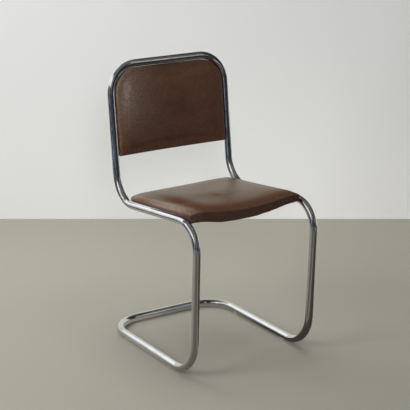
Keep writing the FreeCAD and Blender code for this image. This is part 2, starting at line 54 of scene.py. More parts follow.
# %% Camera at the photograph's viewing angle
FRAME_WIDTH = 410
FOCAL_IN_PIXELS = 1359.8
CENTRE_OFFSET = 15
SENSOR_WIDTH = 36
CAMERA_PLACE = (-2.0673, -3.1490, 1.5615)
camera_data = bpy.data.cameras.new("camera")
camera_data.sensor_width = SENSOR_WIDTH
camera_data.lens = SENSOR_WIDTH * FOCAL_IN_PIXELS / FRAME_WIDTH
camera_data.shift_x = CENTRE_OFFSET / FRAME_WIDTH
camera = bpy.data.objects.new("camera", camera_data)
camera.location = CAMERA_PLACE
yaw, pitch = 0.567, 0.294
camera.rotation_euler = (math.pi / 2 - pitch, 0, -yaw)
bpy.context.scene.collection.objects.link(camera)
bpy.context.scene.camera = camera
print("lens in mm:", round(camera_data.lens, 1))

# %% [markdown]
# ## Helpers for modelling as by hand
# Operators act on whatever is selected, so every piece starts with a clear selection. These few helpers
# stand for what the hand does: pick one piece, step into edit mode, apply a modifier and merge doubles.


# %% Selection and edit mode
def only(piece):
    """Makes one piece the only selected and active one."""
    bpy.ops.object.select_all(action="DESELECT")
    piece.select_set(True)
    bpy.context.view_layer.objects.active = piece
    return piece


def new_piece(name):
    """Names the primitive that was just added."""
    piece = bpy.context.active_object
    piece.name = name
    piece.data.name = name
    return only(piece)


def edit():
    """Steps into edit mode with everything selected."""
    bpy.ops.object.mode_set(mode="EDIT")
    bpy.ops.mesh.select_all(action="SELECT")


def leave_edit():
    bpy.ops.object.mode_set(mode="OBJECT")


print("selection helpers ready")


# %% Modifiers, joining and rings of points
def apply(piece, kind, **settings):
    """Adds a modifier, sets it and applies it."""
    only(piece)
    modifier = piece.modifiers.new(kind.lower(), kind)
    for name, value in settings.items():
        setattr(modifier, name, value)
    bpy.ops.object.modifier_apply(modifier=modifier.name)


def join(pieces, name):
    """Makes one piece of several."""
    only(pieces[0])
    for piece in pieces:
        piece.select_set(True)
    bpy.ops.object.join()
    return new_piece(name)


def settle(piece):
    """Puts the piece's place into its mesh, so that its object sits at the origin."""
    only(piece)
    bpy.ops.object.transform_apply(location=True, rotation=True, scale=True)


def ring(name, radius, count, place, turn, fill="NOTHING"):
    """A ring of points that is selected in edit mode, ready to be extruded."""
    bpy.ops.mesh.primitive_circle_add(
        vertices=count, radius=radius, fill_type=fill, location=place, rotation=turn
    )
    piece = new_piece(name)
    settle(piece)
    edit()
    return piece


def outward(piece):
    """Merges doubles and turns every face outwards."""
    only(piece)
    edit()
    bpy.ops.mesh.remove_doubles(threshold=1e-6)
    bpy.ops.mesh.normals_make_consistent(inside=False)
    leave_edit()


print("modifier helpers ready")


# %% Points, masks and painted values
def points_of(piece):
    """The piece's points as an array."""
    flat = np.zeros(len(piece.data.vertices) * 3)
    piece.data.vertices.foreach_get("co", flat)
    return flat.reshape(-1, 3)


def set_points(piece, points):
    piece.data.vertices.foreach_set("co", np.asarray(points, np.float32).ravel())
    piece.data.update()


def smoothstep(low, high, value):
    """0 at the first value, 1 at the second and smooth between, in either direction."""
    share = np.clip((value - low) / (high - low), 0, 1)
    return share * share * (3 - 2 * share)


def ridge(distance, width):
    """1 on a line and nearly 0 a width away from it."""
    return np.exp(-((distance / width) ** 2))


def paint(piece, name, values):
    """Stores one number per point, for the finish to read."""
    attribute = piece.data.attributes.new(name, "FLOAT", "POINT")
    attribute.data.foreach_set("value", np.clip(values, 0, 1).astype(np.float32))


def report(piece):
    low, high = points_of(piece).min(0), points_of(piece).max(0)
    triangles = sum(len(face.vertices) - 2 for face in piece.data.polygons)
    print(f"{piece.name}: {triangles} triangles, {np.round(1000 * low)} to {np.round(1000 * high)} mm")


# %% [markdown]
# ## Helpers for finishes
# A finish is a tree of nodes. Written out node by node it is hard to read, so a socket is wrapped in a
# small class that knows plus, minus and times. Then `rough = 0.1 + 0.2 * smudge` adds the Math nodes by
# itself. Every other node comes from one method, which takes the node's type, its settings and what goes
# into its sockets.


# %% Shader maths as Python expressions
class Reading:
    """A shader socket that takes part in sums."""

    def __init__(self, finish, socket):
        self.finish, self.socket = finish, socket

    def maths(self, operation, *values):
        return self.finish.add("ShaderNodeMath", {"operation": operation}, dict(enumerate(values)))

    def __add__(self, other):
        return self.maths("ADD", self, other)

    def __sub__(self, other):
        return self.maths("SUBTRACT", self, other)

    def __rsub__(self, other):
        return self.maths("SUBTRACT", other, self)

    def __mul__(self, other):
        return self.maths("MULTIPLY", self, other)

    def __truediv__(self, other):
        return self.maths("DIVIDE", self, other)

    def __pow__(self, other):
        return self.maths("POWER", self, other)

    __radd__, __rmul__ = __add__, __mul__

    def angle_with(self, other):
        return self.maths("ARCTAN2", self, other)

    def cosine(self):
        return self.maths("COSINE", self)

    def above(self, low, high):
        """0 below one value, 1 above another and smooth between."""
        sockets = {"Value": self, "From Min": low, "From Max": high}
        return self.finish.add("ShaderNodeMapRange", {"interpolation_type": "SMOOTHSTEP"}, sockets)


print("socket maths ready")


# %% A finish as a tree of nodes
class Finish:
    """A material, or the world, built from nodes."""

    def __init__(self, owner):
        owner.use_nodes = True
        self.owner, self.tree = owner, owner.node_tree
        self.tree.nodes.clear()

    def add(self, kind, settings=None, sockets=None, output=0):
        """Adds one node: its type, its settings, and the values or links of its sockets."""
        node = self.tree.nodes.new(kind)
        for name, value in (settings or {}).items():
            setattr(node, name, value)
        for name, value in (sockets or {}).items():
            if isinstance(value, Reading):
                self.tree.links.new(value.socket, node.inputs[name])
            else:
                node.inputs[name].default_value = value
        return Reading(self, node.outputs[output]) if node.outputs else None

    def stretch(self, vector, scale, turn=(0, 0, 0)):
        return self.add("ShaderNodeMapping", None, {"Vector": vector, "Rotation": turn, "Scale": scale})

    def place(self, scale=(1, 1, 1), turn=(0, 0, 0)):
        """Object coordinates in metres, turned and scaled."""
        return self.stretch(self.add("ShaderNodeTexCoord", output="Object"), scale, turn)

    def part(self, vector, axis):
        """One of a vector's three values."""
        return self.add("ShaderNodeSeparateXYZ", None, {"Vector": vector}, axis)

    def noise(self, where, scale, detail=2.0, roughness=0.5, distortion=0.0):
        sockets = {"Vector": where, "Scale": scale, "Detail": detail}
        sockets |= {"Roughness": roughness, "Distortion": distortion}
        return self.add("ShaderNodeTexNoise", None, sockets)

    def cells(self, where, scale, output="Distance", randomness=1.0):
        sockets = {"Vector": where, "Scale": scale, "Randomness": randomness}
        return self.add("ShaderNodeTexVoronoi", None, sockets, output)

    def painted(self, name):
        """A value that was painted on the piece's points."""
        return self.add("ShaderNodeAttribute", {"attribute_name": name}, output="Fac")

    def blend(self, mask, low, high):
        """Mixes two colours by a mask."""
        low, high = [(*colour, 1) if isinstance(colour, tuple) else colour for colour in (low, high)]
        return self.add("ShaderNodeMix", {"data_type": "RGBA"}, {0: mask, 6: low, 7: high}, output=2)

    def ray(self, kind):
        """1 for rays of one kind."""
        return self.add("ShaderNodeLightPath", output=f"Is {kind} Ray")

    def brightness(self, colour):
        """One number from a colour."""
        return self.add("ShaderNodeRGBToBW", None, {"Color": colour})

    def relief(self, height, distance, strength=1.0, under=None):
        sockets = {"Height": height, "Distance": distance, "Strength": strength}
        if under is not None:
            sockets["Normal"] = under
        return self.add("ShaderNodeBump", None, sockets)

    def principled(self, **sockets):
        """A Principled shader, with its sockets' names written with underscores."""
        names = {name.replace("_", " "): value for name, value in sockets.items()}
        names = {name: (*value, 1) if isinstance(value, tuple) else value for name, value in names.items()}
        return self.add("ShaderNodeBsdfPrincipled", None, names)

    def mix_shader(self, mask, low, high):
        return self.add("ShaderNodeMixShader", None, {0: mask, 1: low, 2: high})

    def output(self, shader):
        self.add("ShaderNodeOutputMaterial", None, {"Surface": shader})
        return self.owner

    def surface(self, colour, rough, relief, metal=0.0):
        """Closes the tree with a Principled shader."""
        sockets = {"Base_Color": colour, "Metallic": metal, "Roughness": rough, "Normal": relief}
        return self.output(self.principled(**sockets))


def finish(name):
    return Finish(bpy.data.materials.new(name))


print("finish helpers ready")

# %% [markdown]
# ## Chromed tube
# Bright chrome over steel is a mirror with a slightly cold tint. A clean mirror looks computed, so this one
# has faint waves from the tube bender and what decades of use leave: a haze of wiping marks that comes
# and goes, and tiny pits. The marks of wiping and polishing run along the tube. They are drawn on
# `straight`, which is stored on the tube's points further down and says where each would lie if the tube
# were straight. The front legs are a little duller, by the value `legs`. Most of it goes into roughness and
# relief, because the colour of a mirror is mostly the colour of the room.


# %% Finish: chromed tube
def chrome_finish():
    tube = finish("chromed_tube")
    where = tube.place()
    straight = tube.add("ShaderNodeAttribute", {"attribute_name": "straight"}, output="Vector")
    stretched = tube.stretch(straight, (1, 1, 0.035))
    haze = tube.noise(where, 11.0, 4.0, 0.6).above(0.45, 0.75)
    wipes = tube.noise(stretched, 1500.0, 2.0)
    polish = tube.noise(stretched, 360.0, 3.0, 0.55)
    pits = 1 - tube.cells(where, 620.0).above(0.03, 0.16)
    pitted = pits * tube.noise(where, 23.0).above(0.52, 0.7)
    rough = 0.05 + 0.07 * haze + 0.03 * wipes + 0.25 * pitted + 0.08 * tube.painted("legs")
    colour = tube.blend(haze * 0.5 + pitted * 0.4, (0.62, 0.625, 0.65), (0.50, 0.485, 0.46))
    waves = tube.relief(tube.noise(where, 38.0, 1.0), 0.00006)
    drawn = tube.relief(polish, 0.00019, 1.0, waves)
    marks = tube.relief(wipes * haze - pitted, 0.00002, 0.5, drawn)
    return tube.surface(colour, rough, marks, metal=1.0)


chrome = chrome_finish()
print("finish:", chrome.name)

# %% [markdown]
# ## Leatherette
# The covers are coated cloth, embossed like leather: small rounded pebbles with fine valleys between them.
# The brown isn't even. It is warmer and lighter where people rub it, and darker in the valleys, so the
# colour mixes browns by noise at several scales. Four values are painted on the cushions' points further
# down, so that they lie where a sitter rubs and where light falls: `wear` for rubbed places,
# `painted_shade` for painted shade in folds, pleats and along the seat's front roll, `matt` for dull places
# and `painted_sheen` for a painted highlight and painted reflection, pale and hazy. A second shader without
# any shine is mixed in where it is dull.


# %% Finish: leatherette
def leatherette_finish():
    cover = finish("leatherette")
    where = cover.place()
    wear, painted_shade, matt, painted_sheen = [cover.painted(name) for name in ("wear", "painted_shade", "matt", "painted_sheen")]
    mottle = cover.noise(where, 17.0, 4.0, 0.6).above(0.35, 0.7)
    speckle = cover.noise(where, 330.0, 3.0, 0.7)
    cloud = cover.noise(where, 45.0, 3.0).above(0.4, 0.75)
    valleys = cover.cells(where, 760.0).above(0.35, 0.75)
    grain_shade = cover.noise(where, 300.0, 2.0, 0.6).above(0.34, 0.66)
    brown = cover.blend(mottle, (0.088, 0.043, 0.026), (0.112, 0.054, 0.031))
    brown = cover.blend(cloud * 0.5, brown, (0.135, 0.060, 0.027))
    worn = wear * (0.55 + 0.9 * (speckle - 0.5))
    brown = cover.blend(worn, brown, (0.230, 0.100, 0.045))
    # A painted highlight and painted reflection: the cover is made paler and greyer where they are painted.
    brown = cover.blend(painted_sheen * (0.6 + 0.8 * speckle), brown, (0.30, 0.24, 0.20))
    brown = cover.blend(grain_shade * 0.60, brown, (0.045, 0.022, 0.015))
    # Darker in the grain's valleys, and painted shade in the folds, the pleats and the seat's front roll.
    brown = cover.blend(valleys * 0.30 + painted_shade * 0.6, brown, (0.032, 0.018, 0.013))
    rough = 0.29 + 0.10 * (speckle - 0.5) + 0.06 * mottle + 0.04 * worn + 0.12 * painted_shade
    grain = cover.relief(1 - valleys + 0.3 * speckle, 0.00011)
    slack = cover.relief(cover.noise(where, 60.0, 2.0), 0.0007, 1.0, grain)
    common = {"Base_Color": brown, "Roughness": rough, "Normal": slack}
    bright = cover.principled(IOR=1.37, **common)
    dull = cover.principled(Specular_IOR_Level=0.0, **common)
    return cover.output(cover.mix_shader(matt * (1.1 - 0.2 * speckle), bright, dull))


leatherette = leatherette_finish()
print("finish:", leatherette.name)

# %% [markdown]
# ## The finishes of the small parts
# Screws, washers and tee nuts are zinc plated, a softer grey metal with a faint spangle. Staples and the
# sleeves inside the tube are plain steel wire and tube. Boards are beech plywood and brown hardboard. The
# glides are grey nylon, dull with scuffs. The cloth under the seat is a thin black felt, pressed together
# in a grid of dots.


# %% Finishes: metals and boards
def zinc_finish():
    plate = finish("zinc_steel")
    where = plate.place()
    spangle = plate.cells(where, 480.0, output="Color")
    stain = plate.noise(where, 120.0, 3.0).above(0.5, 0.7)
    colour = plate.blend(stain * 0.5, (0.56, 0.56, 0.54), (0.40, 0.38, 0.33))
    scratches = plate.relief(plate.noise(plate.place(scale=(1, 5, 1)), 900.0, 2.0), 0.00003)
    rough = 0.24 + 0.16 * plate.brightness(spangle) + 0.15 * stain
    return plate.surface(colour, rough, scratches, metal=1.0)


def steel_finish():
    steel = finish("plain_steel")
    stain = steel.noise(steel.place(), 70.0, 4.0).above(0.45, 0.7)
    colour = steel.blend(stain, (0.42, 0.41, 0.40), (0.27, 0.23, 0.20))
    drawn = steel.relief(steel.noise(steel.place(scale=(0.2, 1, 1)), 1100.0), 0.00003)
    return steel.surface(colour, 0.3 + 0.25 * stain, drawn, metal=1.0)


def plywood_finish():
    board = finish("plywood")
    fibres = board.noise(board.place(scale=(1, 0.06, 1)), 600.0, 4.0, 0.6)
    figure = board.noise(board.place(scale=(1, 0.15, 1)), 28.0, 3.0, 0.5, 0.8)
    colour = board.blend(figure, (0.62, 0.43, 0.26), (0.72, 0.54, 0.35))
    colour = board.blend(fibres.above(0.55, 0.8) * 0.5, colour, (0.40, 0.25, 0.14))
    return board.surface(colour, 0.6 + 0.1 * fibres, board.relief(fibres, 0.0001))


def hardboard_finish():
    board = finish("hardboard")
    chips = board.noise(board.place(), 700.0, 4.0, 0.7)
    colour = board.blend(chips, (0.16, 0.09, 0.05), (0.28, 0.17, 0.10))
    return board.surface(colour, 0.7 + 0.1 * chips, board.relief(chips, 0.0001))


print("finishes of metals and boards ready")


# %% Finishes: nylon, foam and felt
def nylon_finish():
    nylon = finish("glide_plastic")
    scuffs = nylon.noise(nylon.place(scale=(4, 1, 1)), 240.0, 4.0, 0.6).above(0.5, 0.75)
    colour = nylon.blend(scuffs, (0.24, 0.235, 0.22), (0.34, 0.33, 0.31))
    grain = nylon.relief(nylon.noise(nylon.place(), 1500.0) + 0.5 * scuffs, 0.00004)
    return nylon.surface(colour, 0.42 + 0.25 * scuffs, grain)


def foam_finish():
    foam = finish("foam")
    pores = foam.cells(foam.place(), 900.0)
    colour = foam.blend(pores, (0.50, 0.40, 0.22), (0.66, 0.56, 0.36))
    return foam.surface(colour, 0.95 - 0.1 * pores, foam.relief(pores, 0.0004))


def felt_finish():
    felt = finish("dust_cloth")
    where = felt.place()
    dots = 1 - felt.cells(where, 420.0, randomness=0.0).above(0.18, 0.3)
    fibres = felt.noise(felt.place(scale=(1, 3, 1)), 1400.0, 3.0, 0.7)
    dust = felt.noise(where, 22.0, 3.0).above(0.45, 0.8)
    colour = felt.blend(fibres, (0.012, 0.012, 0.013), (0.035, 0.034, 0.035))
    colour = felt.blend(dust * 0.35, colour, (0.10, 0.095, 0.085))
    weave = felt.relief(fibres - 1.5 * dots, 0.0002)
    return felt.surface(colour, 0.92 - 0.25 * dots, weave)


finishes = {
    "chromed_tube": chrome,
    "leatherette": leatherette,
    "zinc_steel": zinc_finish(),
    "plain_steel": steel_finish(),
    "plywood": plywood_finish(),
    "hardboard": hardboard_finish(),
    "glide_plastic": nylon_finish(),
    "foam": foam_finish(),
    "dust_cloth": felt_finish(),
}
print("finishes:", sorted(finishes))

# %% [markdown]
# ## Finishes for the CAD's own pieces
# Lugs, screws, washers, staples, glides and boards already have their right shape, so they only get a
# better material. Their names say which finish each one takes.

# %% Assign the finishes to the CAD nodes
WORDS_IN_NAMES = {
    "chromed_tube": ("tube", "lug", "rivets"),
    "plain_steel": ("joint", "staples"),
    "glide_plastic": ("glide",),
    "plywood": ("board",),
    "hardboard": ("panel",),
    "foam": ("foam",),
    "leatherette": ("cover",),
    "dust_cloth": ("dust",),
    "zinc_steel": ("screws", "washers", "nuts"),
}
for name, node in nodes.items():
    slot_name = next(slot for slot, words in WORDS_IN_NAMES.items() if any(word in name for word in words))
    if not node.material_slots:
        node.data.materials.append(None)
    for slot in node.material_slots:
        slot.material = finishes[slot_name]
print("CAD nodes dressed:", len(nodes))

# %% [markdown]
# ## The loop of tube
# The CAD's loop is two bent tubes that butt in the middle of the top bar and of the floor bar. It is
# modelled the way a tube is bent: a ring of points is extruded along each straight run and spun round the
# centre of each bend. Half the loop is enough, because a Mirror modifier makes the other half.


# %% The loop's corners and bends, in metres
TUBE_RADIUS = 0.011
SIDE_X = 0.1965
HEEL, FOOT = Vector((0, 0.24487, 0.014)), Vector((0, -0.23113, 0.014))
RAIL_FRONT, RAIL_BACK = Vector((0, -0.24813, 0.460)), Vector((0, 0.17637, 0.419))
UPRIGHT_TOP = Vector((0, 0.22337, 0.813))
BEND_RADII = (0.092, 0.103, 0.076, 0.084, 0.085)
RING_POINTS, BEND_STEPS, LINE_STEPS = 48, 20, 40
HALVES_APART = 4.0


def tube_corners():
    """Corners of the left half, from the middle of the floor bar to the middle of the top bar."""
    shift = Vector((-SIDE_X, 0, 0))
    left = [corner + shift for corner in (HEEL, FOOT, RAIL_FRONT, RAIL_BACK, UPRIGHT_TOP)]
    return [HEEL, *left, UPRIGHT_TOP]


def tube_bends(corners):
    """Each bend's start, end, centre, axis and angle."""
    for radius, before, corner, after in zip(BEND_RADII, corners, corners[1:], corners[2:]):
        into, out = (corner - before).normalized(), (after - corner).normalized()
        turn = into.angle(out)
        reach = radius * math.tan(turn / 2)
        start = corner - into * reach
        axis = into.cross(out).normalized()
        yield start, corner + out * reach, start + axis.cross(into) * radius, axis, turn


print("bends in each half:", len(BEND_RADII))


# %% The loop, extruded and spun
def selected_centre(piece):
    """The middle of the selected points, in edit mode."""
    mesh = bmesh.from_edit_mesh(piece.data)
    chosen = [vertex.co for vertex in mesh.verts if vertex.select]
    return sum(chosen, Vector()) / len(chosen)


def frame_loop():
    """Half the loop, extruded and spun, and then mirrored."""
    corners = tube_corners()
    loop = ring("frame_loop", TUBE_RADIUS, RING_POINTS, HEEL, (0, math.pi / 2, 0))
    here = corners[0]
    for number, (start, end, centre, axis, turn) in enumerate(tube_bends(corners), 1):
        bpy.ops.mesh.extrude_region_move(TRANSFORM_OT_translate={"value": start - here})
        bpy.ops.mesh.spin(steps=BEND_STEPS, angle=-turn, center=centre, axis=axis)
        here = end
        off = (selected_centre(loop) - here).length
        print(f"bend {number}: its end is {1000 * off:.3f} mm from the CAD's")
    bpy.ops.mesh.extrude_region_move(TRANSFORM_OT_translate={"value": corners[-1] - here})
    leave_edit()
    apply(loop, "MIRROR", use_axis=(True, False, False), merge_threshold=1e-5)
    outward(loop)
    bpy.ops.object.shade_smooth()
    return loop


loop = frame_loop()
print("points on the loop:", len(loop.data.vertices))


# %% Places along the tube, and the loop's finish
def centre_line():
    """Points along the centre line of the left half, and the tube's direction at each."""
    corners = tube_corners()
    places, here = [], corners[0]
    shares = [step / LINE_STEPS for step in range(LINE_STEPS + 1)]
    for start, end, centre, axis, turn in tube_bends(corners):
        places += [here.lerp(start, share) for share in shares[:-1]]
        turns = [Matrix.Rotation(turn * share, 3, axis) for share in shares[:-1]]
        places += [centre + rotation @ (start - centre) for rotation in turns]
        here = end
    places += [here.lerp(corners[-1], share) for share in shares]
    line = np.array(places)
    ahead = np.gradient(line, axis=0)
    return line, ahead / np.linalg.norm(ahead, axis=1, keepdims=True)


def straighten(piece):
    """Stores where each point would lie if the tube were straight, so that streaks can run along it."""
    line, ahead = centre_line()
    run = np.concatenate(([0], np.cumsum(np.linalg.norm(np.diff(line, axis=0), axis=1))))
    steady = np.zeros_like(line)
    side = np.array((0.0, 0.0, 1.0))
    for index, direction in enumerate(ahead):
        side = side - direction * side.dot(direction)
        side /= np.linalg.norm(side)
        steady[index] = side
    points = points_of(piece)
    mirrored = points.copy()
    mirrored[:, 0] = -np.abs(points[:, 0])
    nearest = np.array([((line - point) ** 2).sum(1).argmin() for point in mirrored])
    off = mirrored - line[nearest]
    across = (off * steady[nearest]).sum(1)
    aside = (off * np.cross(ahead[nearest], steady[nearest])).sum(1)
    along = run[nearest] + (off * ahead[nearest]).sum(1) + HALVES_APART * (points[:, 0] > 0)
    straight = piece.data.attributes.new("straight", "FLOAT_VECTOR", "POINT")
    straight.data.foreach_set("vector", np.stack((across, aside, along), 1).astype(np.float32).ravel())
    height = points[:, 2]
    paint(piece, "legs", smoothstep(0.09, 0.14, height) * smoothstep(0.40, 0.34, height))


straighten(loop)
loop.data.materials.append(chrome)
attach(loop, "root")
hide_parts("frame_tube_left", "frame_tube_right")
report(loop)

# %% [markdown]
# ## Soft pads from the CAD's own inside
# Each pad is foam on a moulded board with a taut cover. The CAD's foam and board together are the pad
# without its cover, one millimetre smaller all round, which is what a cloth simulation wants to start from,
# because pressure swells it. The two are joined and remeshed into one even skin, which is blown up with its
# underside held. No point may move further than the cover has room for. A Shrinkwrap then keeps the skin
# one cover's thickness outside the foam and the board. The remesh cuts the sharp lower edges off, so the
# points near them are moved out again.


# %% A skin round the CAD's solids
COVER = 0.001
VOXEL = 0.004


def joined_copy(name, sources):
    """A new piece with the meshes of some CAD nodes, merged."""
    copies = []
    for source in sources:
        copy = bpy.data.objects.new(name, nodes[source].data.copy())
        bpy.context.scene.collection.objects.link(copy)
        copies.append(copy)
    piece = join(copies, name)
    edit()
    bpy.ops.mesh.remove_doubles(threshold=1e-6)
    leave_edit()
    piece.data.materials.clear()
    return piece


def cover_skin(name, sources, held, cap):
    """A taut cover round some CAD solids: remeshed, blown up where it isn't held, and kept outside them."""
    form = joined_copy(name + "_form", sources)
    skin = joined_copy(name, sources)
    apply(skin, "REMESH", mode="VOXEL", voxel_size=VOXEL, adaptivity=0.0)
    apply(skin, "SMOOTH", factor=0.5, iterations=3)
    hold(skin, held)
    inflate(skin, cap)
    apply(skin, "SMOOTH", factor=0.5, iterations=6)
    outside = {"target": form, "wrap_mode": "OUTSIDE", "offset": COVER}
    apply(skin, "SHRINKWRAP", **outside)
    apply(skin, "SUBSURF", levels=1, render_levels=1)
    apply(skin, "SHRINKWRAP", **outside)
    bpy.data.objects.remove(form)
    only(skin)
    bpy.ops.object.shade_smooth()
    return skin


def squared(first, second):
    """Move that gives a point back the sharp edge between two faces, from its distances to both."""
    return np.maximum(np.minimum(first, second), 0) * smoothstep(0.009, 0.006, np.maximum(first, second))


print("skin helpers ready")

# %% Air pressure under the cover
FRAMES = 20
CLOTH_SETTINGS = {
    "use_pressure": True,
    "uniform_pressure_force": 4.0,
    "vertex_group_mass": "held",
    "quality": 6,
    "tension_stiffness": 25,
    "compression_stiffness": 25,
    "bending_stiffness": 0.6,
}


def hold(piece, test):
    """Marks the points that the simulation holds."""
    held = np.flatnonzero(test(points_of(piece)))
    piece.vertex_groups.new(name="held").add(held.tolist(), 1.0, "REPLACE")


def inflate(piece, cap):
    """Runs Blender's cloth with air pressure inside, and keeps each point within a cap of where it was."""
    start = points_of(piece)
    cloth = piece.modifiers.new("cloth", "CLOTH")
    for name, value in CLOTH_SETTINGS.items():
        setattr(cloth.settings, name, value)
    cloth.settings.effector_weights.gravity = 0
    scene = bpy.context.scene
    for number in range(1, FRAMES + 1):
        scene.frame_set(number)
    move = points_of(piece.evaluated_get(bpy.context.evaluated_depsgraph_get())) - start
    piece.modifiers.remove(cloth)
    scene.frame_set(1)
    length = np.linalg.norm(move, axis=1, keepdims=True)
    share = np.minimum(1, cap(start)[:, None] / np.maximum(length, 1e-9))
    set_points(piece, start + move * share)
    swelled, kept = 1000 * length.max(), 1000 * (length * share).max()
    print(f"{piece.name}: swelled by {swelled:.1f} mm, kept to {kept:.1f} mm")


print("pressure helpers ready")


# %% Coordinates of a pad
def pad_frame(along, origin):
    """A pad's own coordinates: x across, y along its depth and z towards the sitter or up the back."""
    return Matrix.Translation(origin) @ Matrix((
        (1, 0, 0, 0),
        (0, along.y, -along.z, 0),
        (0, along.z, along.y, 0),
        (0, 0, 0, 1),
    ))


def into_frame(matrix, points):
    """Columns x, y and z of the chair's points in a pad's own coordinates."""
    inverse = np.array(matrix.inverted())
    return (points @ inverse[:3, :3].T + inverse[:3, 3]).T


def set_in_frame(piece, matrix, *columns):
    """Sets a piece's points from such columns."""
    matrix = np.array(matrix)
    set_points(piece, np.stack(columns, 1) @ matrix[:3, :3].T + matrix[:3, 3])


def swell_limit(from_edge, swell):
    """How far a point may swell: less near the pad's edge."""
    return 0.0006 + swell * smoothstep(0.004, 0.040, from_edge)


print("pad frames ready")

# %% [markdown]
# ## The seat cushion
# The seat's own coordinates lie along the rails: x across, y from the front edge to the rear, z up from the
# rails' centre line. The seat is thin and taut, with its cover drawn down over the board. A sitter has left
# a long shallow hollow beside the left edge, dimples further in, small pleats at the two front corners and
# a worn front edge. The rear left corner lies low and the rear right bulges. The cover droops a little
# below the front edge on the left. These come after the simulation, as moves of points, because the remesh
# would wash them out. The folds, the pleats and the front roll get painted shade, and the left edge, the
# front face and a patch towards the rear right get a painted highlight and painted reflection.

# %% Seat frame and the board's dish
SEAT_LENGTH, PAD_HALF_WIDTH = 0.352, 0.1845
SEAT_DISH, SEAT_BOARD_BOTTOM = 0.0185, -0.002
DISH_KNEE, DISH_HALF_WIDTH = 0.65, 0.1805
FRONT_SETBACK, SEAT_SWELL = 0.053, 0.0024
rail_along = (RAIL_BACK - RAIL_FRONT).normalized()
seat_origin = RAIL_FRONT + rail_along * FRONT_SETBACK
seat_frame = pad_frame(rail_along, seat_origin)


def board_dish(x):
    """Height of the seat board's dished line across its width, zero at the sides, as the CAD draws it."""
    share = np.clip(np.abs(x) / DISH_HALF_WIDTH, 0, 1)
    outer = (1 - share) ** 2 / (1 - DISH_KNEE)
    inner = 1 - share ** 2 / DISH_KNEE
    return -SEAT_DISH * np.where(share > DISH_KNEE, outer, inner)


def seat_held(points):
    """True at the underside and low on the sides, where the cover is pulled round the board."""
    x, _, z = into_frame(seat_frame, points)
    return z < board_dish(x) + 0.004


def seat_cap(points):
    x, y, _ = into_frame(seat_frame, points)
    from_edge = np.minimum(PAD_HALF_WIDTH - np.abs(x), np.minimum(y, SEAT_LENGTH - y))
    return swell_limit(from_edge, SEAT_SWELL)


print("seat origin in mm:", [round(1000 * value, 1) for value in seat_origin])


# %% The seat's edges
FRONT_DROOP = 0.0042


def seat_edges(x, y, z, upward):
    """Brings back the sharp lower edges, and droops the cover below the front edge on the left."""
    steep = smoothstep(0.7, 0.4, upward)
    side = np.sign(x)
    move = squared(PAD_HALF_WIDTH - np.abs(x), y) * steep
    x, y = x + move * side, y - move
    above = z - board_dish(x) - SEAT_BOARD_BOTTOM + COVER
    move = squared(PAD_HALF_WIDTH - np.abs(x), above) * steep
    x, z, above = x + move * side, z - move, above - move
    move = squared(y, above) * steep
    y, z, above = y - move, z - move, above - move
    move = squared(SEAT_LENGTH - y, above) * steep
    y, z = y + move, z - move
    droop = smoothstep(-0.010, -0.090, x) * smoothstep(0.030, 0.0, y) * smoothstep(0.012, 0.002, above)
    return x, y, z - FRONT_DROOP * droop


print("seat edges ready")

# %% The seat's form, its worn places and its painted light
# Each hollow's place across and along, its width, length and depth.
HOLLOWS = (
    (-0.132, 0.150, 0.018, 0.095, 0.0026),
    (-0.112, 0.060, 0.022, 0.035, 0.0014),
    (-0.060, 0.150, 0.050, 0.060, 0.0014),
    (0.000, 0.153, 0.016, 0.030, 0.0008),
    (0.075, 0.120, 0.050, 0.060, 0.0012),
    (0.020, 0.230, 0.080, 0.050, 0.0010),
)
PLEAT_OFFSETS, PLEAT_DEPTH = (0.006, 0.014, 0.023), 0.0005
FRONT_SLOPE, FOLD_DEPTH = 0.0030, 0.0003
REAR_LEFT_DROP, REAR_RIGHT_RISE = 0.0080, 0.0035


def spot(x, y, place_x, place_y, wide, long):
    """1 at a place and nearly 0 beyond its width and length."""
    return np.exp(-(((x - place_x) / wide) ** 2 + ((y - place_y) / long) ** 2))


def shape_seat(cushion):
    """Hollows, pleats and folds of the seat, and the painted shade in its folds, pleats and front roll."""
    x, y, z = into_frame(seat_frame, points_of(cushion))
    normals = np.zeros(len(x) * 3)
    cushion.data.vertices.foreach_get("normal", normals)
    upward = normals.reshape(-1, 3)[:, 2]
    top = smoothstep(0.2, 0.8, upward)
    x, y, z = seat_edges(x, y, z, upward)
    from_side = PAD_HALF_WIDTH - np.abs(x)
    pleats = 0.8 * ridge(x - 0.098 - 0.35 * y, 0.0025) * smoothstep(0.045, 0.010, y)
    for offset in PLEAT_OFFSETS:
        pleats += ridge(from_side - offset - 0.15 * y, 0.0022) * smoothstep(0.030, 0.004, y)
    corner = np.hypot(np.maximum(from_side, 0) / 0.055, (SEAT_LENGTH - y) / 0.080)
    lower = FRONT_SLOPE * smoothstep(0.050, 0.0, y) + PLEAT_DEPTH * pleats
    lower += REAR_LEFT_DROP * (x < 0) * smoothstep(1, 0, corner)
    lower -= REAR_RIGHT_RISE * spot(x, y, 0.130, 0.345, 0.070, 0.060)
    for place_x, place_y, wide, long, depth in HOLLOWS:
        lower += depth * spot(x, y, place_x, place_y, wide, long)
    z = z - lower * top
    fold = ridge(from_side - 0.001, 0.0025) * smoothstep(0.004, 0.001, y) * (upward < 0.6)
    y = y + FOLD_DEPTH * fold
    set_in_frame(cushion, seat_frame, x, y, z)
    # Painted shade in the fold, the pleats and along the front roll.
    paint(cushion, "painted_shade", 0.8 * fold + 0.35 * pleats + 0.5 * smoothstep(0.055, 0.012, y))
    paint_seat(cushion, x, y, upward)


